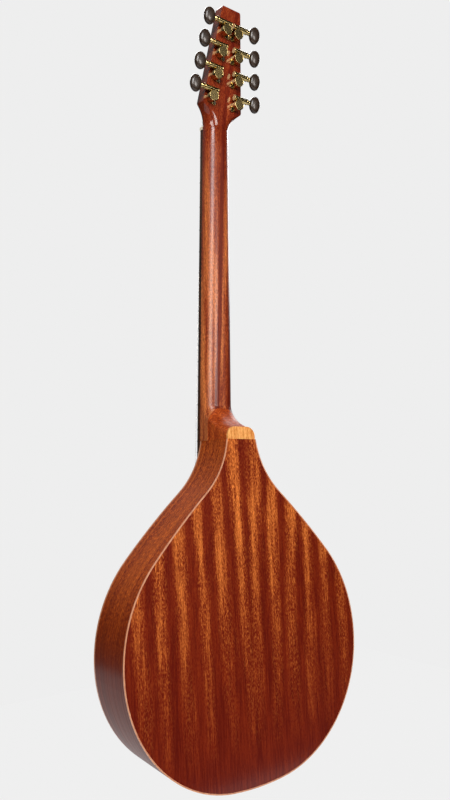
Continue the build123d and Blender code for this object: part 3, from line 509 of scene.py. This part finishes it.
def plastic(name, slot, colour, rough, second=None, size=6.0, coat=0.6):
    """Moulded or polished plastic, clouded with a second tone; size is the clouds', in millimetres."""
    shade = Shade(name, Coat_Weight=coat, Coat_Roughness=0.05)
    cloud = shade.noise(grain(shade, size, (1, 1, 1)), distortion=0.6)
    second = second or toned(colour, PLASTIC_TONE)
    shade.colour(shade.blend(shade.span(cloud, *CLOUD_RANGE), colour, second))
    fine = shade.noise(shade.place, scale=1800, detail=2)
    shade.rough(shade.span(fine, *NOISE_RANGE, rough, rough + WEAR))
    shade.bump(fine, strength=0.05, distance=0.05 * MM)
    slots[slot] = shade.material


HOLE_HEIGHT = -537.66 * MM           # middle of the sound hole
ROSETTE_INNER, ROSETTE_OUTER = 45 * MM, 56 * MM
INLAY_DARK, INLAY_PALE, INLAY_WARM = (0.02, 0.012, 0.008), (0.62, 0.45, 0.24), (0.22, 0.07, 0.025)
# Places across the rosette, from 0 at its inner edge to 1 at its outer one.
INLAY_LINES = (
    (0.0, INLAY_DARK), (0.07, INLAY_PALE), (0.13, INLAY_DARK), (0.86, INLAY_PALE), (0.93, INLAY_DARK),
)
TILES_INNER, TILES_OUTER, TILES_BLUR = 0.22, 0.78, 0.01
TILE_PAIRS = 72
TILE_SLANT = 9.0                     # radians that a pair's wave moves on, from the inner edge to the outer
TILE_BLUR = 0.1
INLAY_ROUGH = (0.35, 0.5)


def make_rosette():
    """Rings of pale and dark wood round a band of small slanted tiles."""
    shade = Shade("rosette_rings", Coat_Weight=1.0, Coat_Roughness=0.1)
    across, up = shade.axis("X"), shade.math("SUBTRACT", shade.axis("Z"), HOLE_HEIGHT)
    squared = shade.math("MULTIPLY_ADD", up, up, shade.math("MULTIPLY", across, across))
    ring = shade.span(shade.math("SQRT", squared), ROSETTE_INNER, ROSETTE_OUTER)
    around = shade.math("MULTIPLY", shade.math("ARCTAN2", up, across), TILE_PAIRS)
    tiles = shade.math("SINE", shade.math("MULTIPLY_ADD", ring, TILE_SLANT, around))
    tile = shade.blend(shade.span(tiles, -TILE_BLUR, TILE_BLUR), INLAY_WARM, INLAY_PALE)
    lines = shade.ramp(ring, INLAY_LINES)
    lines.node.color_ramp.interpolation = "CONSTANT"
    past_inner = shade.span(ring, TILES_INNER, TILES_INNER + TILES_BLUR)
    before_outer = shade.span(ring, TILES_OUTER, TILES_OUTER - TILES_BLUR)
    tiled = shade.math("MULTIPLY", past_inner, before_outer)
    shade.colour(shade.blend(tiled, lines, tile))
    grained = shade.noise(grain(shade, DASH_SIZE, ALONG_Z), detail=2)
    shade.rough(shade.span(grained, *NOISE_RANGE, *INLAY_ROUGH))
    shade.bump(grained, strength=0.1, distance=0.1 * MM)
    slots["rosette_inlay"] = shade.material


def make_others():
    """The metal, bone and plastic slots, and the rosette's."""
    metal("gold_plate", "gold", (0.6, 0.46, 0.2), rough=0.16)
    metal("nickel_silver", "fret_silver", (0.72, 0.71, 0.66), rough=0.2)
    metal("bare_steel", "steel", (0.45, 0.45, 0.46), rough=0.3)
    metal("dark_screws", "dark_screw", (0.13, 0.1, 0.075), rough=0.22)
    metal("string_steel", "string_wire", (0.66, 0.62, 0.55), rough=0.24)
    plastic("brown_buttons", "brown_plastic", (0.018, 0.01, 0.006), rough=0.3,
            second=(0.035, 0.02, 0.012), coat=0.3)
    plastic("black_cover", "black_plastic", (0.015, 0.015, 0.016), rough=0.3)
    plastic("bone_parts", "bone", (0.82, 0.76, 0.6), rough=0.4, second=(0.74, 0.66, 0.48), coat=0.3)
    plastic("pearl_dots", "pearl", (0.8, 0.84, 0.8), rough=0.22, second=(0.62, 0.7, 0.74), size=1.2)
    plastic("cream_edge", "cream_binding", (0.62, 0.29, 0.16), rough=0.35, second=(0.5, 0.2, 0.1),
            coat=0.5)
    make_rosette()


RIBS = [f"{side}_rib" for side in SIDES]


def dress_nodes():
    """Give every CAD node its procedural material, by its slot and its place."""
    for name, node in nodes.items():
        for place in node.material_slots:
            slot = "sapele_side" if name in RIBS else place.material.name.split(".")[0]
            place.material = slots[slot]


# ------------------------------------------------------------------ shapes of the detail pieces


def make_mesh(name, points, faces, body, slot):
    """A smooth mesh piece that rides a body and takes a slot's material."""
    data = bpy.data.meshes.new(name)
    data.from_pydata([tuple(point) for point in points], [], faces)
    data.validate()
    for face in data.polygons:
        face.use_smooth = True
    piece = link(bpy.data.objects.new(name, data))
    data.materials.append(slots[slot])
    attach(piece, body)
    return piece


def circle(place, side, other, radius, steps):
    """Points round a place, each at a radius times a mix of two directions."""
    turns = [2 * math.pi * step / steps for step in range(steps)]
    return [place + radius * (math.cos(turn) * side + math.sin(turn) * other) for turn in turns]


def grid_faces(rows, steps, start=0, closed=False):
    """Quads joining rows of points, each row going once round."""
    faces = []
    for row in range(rows if closed else rows - 1):
        for step in range(steps):
            here, there = start + row * steps, start + (row + 1) % rows * steps
            after = (step + 1) % steps
            faces.append([here + step, here + after, there + after, there + step])
    return faces


def capped_faces(rows, steps):
    """Quads joining rows of points, and a face over each end."""
    last = (rows - 1) * steps
    return grid_faces(rows, steps) + [list(range(steps))[::-1], list(range(last, last + steps))]


def rings(name, profiles, body, slot, steps=40):
    """One piece made of closed rings, each a profile of (radius, along) turned about an axis at a place."""
    points, faces = [], []
    for profile, place, axis in profiles:
        side = axis.orthogonal().normalized()
        faces += grid_faces(len(profile), steps, len(points), closed=True)
        for radius, along in profile:
            points += circle(place + along * axis, side, axis.cross(side), radius, steps)
    make_mesh(name, points, faces, body, slot)


BEAD_STEPS = 10


def bead(radius, half_width, half_height, along):
    """The profile of a ring with a rounded section."""
    turns = [2 * math.pi * step / BEAD_STEPS for step in range(BEAD_STEPS)]
    return [(radius + half_width * math.cos(turn), along + half_height * math.sin(turn)) for turn in turns]


# ------------------------------------------------------------------ tuners

HEAD_BACK = 14.3 * MM                # headstock's back, behind the row's origin
VENEER_FRONT = 1 * MM                # veneer's face, in front of the origin
CUP_RADIUS, CUP_HEIGHT = 6.7 * MM, 10 * MM
RIM_INSET = 0.2 * MM                 # rim's middle, inside the cup's radius
BARREL_RADIUS = 3.5 * MM
WORM_DEPTH, WORM_RISE = 5.9 * MM, 8.5 * MM
COLLAR_PLACES = (-6.6 * MM, 13.2 * MM)  # along the worm, outward from its middle


def tuner_axes(side, row):
    """A tuner's foot on the headstock's back, and its directions behind, up and outward."""
    post, axis = joint_place(f"post_turn_{side}_{row}")
    behind = -axis
    foot = post + (HEAD_BACK - post.dot(behind)) * behind
    up = Vector((0, -behind.z, behind.y))
    return foot, behind, up, Vector((SIDES[side], 0, 0))


def worm_middle(foot, behind, up):
    """The middle of a tuner's worm, beside its post."""
    return foot + WORM_RISE * up + WORM_DEPTH * behind


BUTTON_REACH = 27 * MM               # button's middle, outward from the post
BUTTON_HALF_WIDTH, BUTTON_HALF_HEIGHT, BUTTON_HALF_DEPTH = 8.25 * MM, 11 * MM, 4.5 * MM
BUTTON_STEPS, BUTTON_LEVELS = 44, 23
BUTTON_OPEN = 0.998                  # the levels' share of a half turn, short of a point at each end
BUTTON_REACH_POWER = 0.72            # powers under 1 fill an ellipsoid out
BUTTON_LIFT_POWER = 0.86
# Radius and place outward from the worm's middle, in millimetres.
FERRULE = ((1.7, 15.9), (2.6, 15.9), (3.1, 16.3), (3.2, 17.0), (2.9, 17.8), (3.0, 19.6), (1.7, 19.8))
FERRULE_STEPS = 28


def make_button(side, row):
    """A polished oval key, fuller in the middle than at its rim, with a gold ferrule."""
    foot, behind, up, out = tuner_axes(side, row)
    worm = worm_middle(foot, behind, up)
    middle = worm + BUTTON_REACH * out
    points = []
    for level in range(BUTTON_LEVELS):
        tilt = math.pi * (level / (BUTTON_LEVELS - 1) - 0.5) * BUTTON_OPEN
        reach = math.cos(tilt) ** BUTTON_REACH_POWER
        lift = math.copysign(abs(math.sin(tilt)) ** BUTTON_LIFT_POWER, tilt)
        centre = middle + BUTTON_HALF_DEPTH * lift * behind
        points += circle(centre, BUTTON_HALF_WIDTH * out, BUTTON_HALF_HEIGHT * up, reach, BUTTON_STEPS)
    faces = capped_faces(BUTTON_LEVELS, BUTTON_STEPS)
    button = make_mesh(f"key_{side}_{row}", points, faces, f"key_{side}_{row}", "brown_plastic")
    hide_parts(f"tuner_button_{side}_{row}")
    profile = [(radius * MM, along * MM) for radius, along in FERRULE]
    rings(f"ferrule_{side}_{row}", [(profile, worm, out)], f"key_{side}_{row}", "gold", FERRULE_STEPS)


GROOVE_RADIUS = 2.4 * MM
WINDING_START = 3.5 * MM             # first turn's height over the veneer
WINDING_TURNS, WINDING_STEPS = 4.25, 20
WINDING_PITCH = 2.05                 # string radii from turn to turn
WIRE_STEPS = 8
WIRE_SIDE = Vector((0, 1, 0.3))      # any direction that the wire never takes
# Each side's strings from row 1 to row 4, in millimetres.
STRING_RADII = {"bass": (0.34, 0.18, 0.29, 0.15), "treble": (0.13, 0.13, 0.17, 0.17)}


def make_winding(side, row, radius):
    """Turns of string round the post's groove."""
    foot, behind, up, out = tuner_axes(side, row)
    veneer = foot - (HEAD_BACK + VENEER_FRONT) * behind
    around = GROOVE_RADIUS + radius
    count = int(WINDING_TURNS * WINDING_STEPS)
    path = []
    for step in range(count + 1):
        turn = 2 * math.pi * WINDING_TURNS * step / count
        height = WINDING_START + WINDING_PITCH * radius * turn / (2 * math.pi)
        path.append(veneer - height * behind + around * (math.cos(turn) * out + math.sin(turn) * up))
    points = []
    for before, place, after in zip(path[:1] + path, path, path[1:] + path[-1:]):
        along = (after - before).normalized()
        sideways = along.cross(WIRE_SIDE).normalized()
        points += circle(place, sideways, along.cross(sideways), radius, WIRE_STEPS)
    faces = capped_faces(len(path), WIRE_STEPS)
    make_mesh(f"winding_{side}_{row}", points, faces, f"post_{side}_{row}", "string_wire")


def make_tuners():
    """Rims on the gear cups, collars on the worm barrels, keys and string windings."""
    for side in SIDES:
        rims, collars = [], []
        for row, radius in zip(ROWS, STRING_RADII[side]):
            foot, behind, up, out = tuner_axes(side, row)
            rim = bead(CUP_RADIUS - RIM_INSET, half_width=0.35 * MM, half_height=0.3 * MM, along=CUP_HEIGHT)
            rims.append((rim, foot, behind))
            for along in COLLAR_PLACES:
                collar = bead(BARREL_RADIUS, half_width=0.4 * MM, half_height=0.7 * MM, along=along)
                collars.append((collar, worm_middle(foot, behind, up), out))
            make_button(side, row)
            make_winding(side, row, radius * MM)
        rings(f"cup_rims_{side}", rims, "body", "gold")
        rings(f"barrel_collars_{side}", collars, "body", "gold")


# ------------------------------------------------------------------ making

make_camera()
make_world()
make_floor()
make_lights()
make_woods()
make_others()
dress_nodes()
make_tuners()
